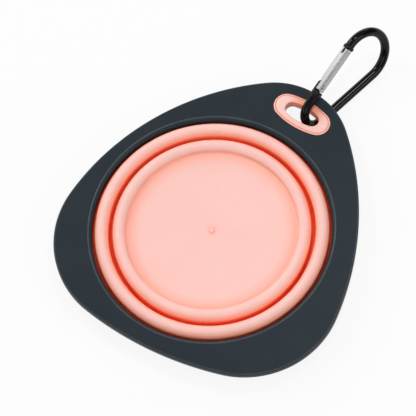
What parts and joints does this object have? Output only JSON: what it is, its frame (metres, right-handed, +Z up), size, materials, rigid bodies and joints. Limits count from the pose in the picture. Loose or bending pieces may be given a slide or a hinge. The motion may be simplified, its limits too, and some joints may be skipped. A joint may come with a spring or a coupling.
{
  "type": "collapsible bowl",
  "caption": "Collapsible silicone bowl folded flat in a rounded three-sided hard plastic frame, with a grommeted hang hole and a spring-gate carabiner for clipping it to a bag.",
  "frame": {"origin": "on the bowl's axis, in the plane that its foot ring stands on", "axes": "+Z up along the bowl's axis, +Y from the axis towards the hang hole, +X to the right of +Y seen from above"},
  "size_m": [0.1513, 0.2079, 0.0301],
  "materials": {
    "silicone": "satin",
    "frame_plastic": "matte",
    "black_metal": "gloss",
    "bright_metal": "polished",
    "steel": "satin"
  },
  "bodies": {
    "base": {"bowl_floor": "silicone", "lower_ring": "silicone"},
    "mid_ring": {"upper_ring": "silicone", "inner_fold": "silicone"},
    "rim": {"rim_frame": "frame_plastic", "bowl_collar": "silicone", "hang_grommet": "silicone", "outer_fold": "silicone"},
    "carabiner": {"carabiner_body": "black_metal", "hinge_rivet": "steel"},
    "gate": {"gate_bar": "bright_metal", "latch_pin": "steel", "gate_spring": "steel"}
  },
  "joints": [
    {"name": "lower_fold", "type": "slide", "parent": "base", "child": "mid_ring", "axis": [0, 0, 1], "range_m": [0, 0.0218], "deforming": ["inner_fold"]},
    {"name": "upper_fold", "type": "slide", "parent": "mid_ring", "child": "rim", "axis": [0, 0, 1], "range_m": [0, 0.0222], "deforming": ["outer_fold"]},
    {"name": "carabiner_swing", "type": "hinge", "parent": "rim", "child": "carabiner", "pos_m": [0.0033, 0.084, 0.009], "axis": [-0.905, 0.1563, -0.3956], "range_deg": [-14, 24]},
    {"name": "gate_swing", "type": "hinge", "parent": "carabiner", "child": "gate", "pos_m": [0.00116, 0.09278, 0.01931], "axis": [-0.905, 0.1563, -0.3956], "range_deg": [0, 26], "stiffness_Nm_per_rad": 0.01, "springref_deg": -20.05, "deforming": ["gate_spring"]}
  ]
}
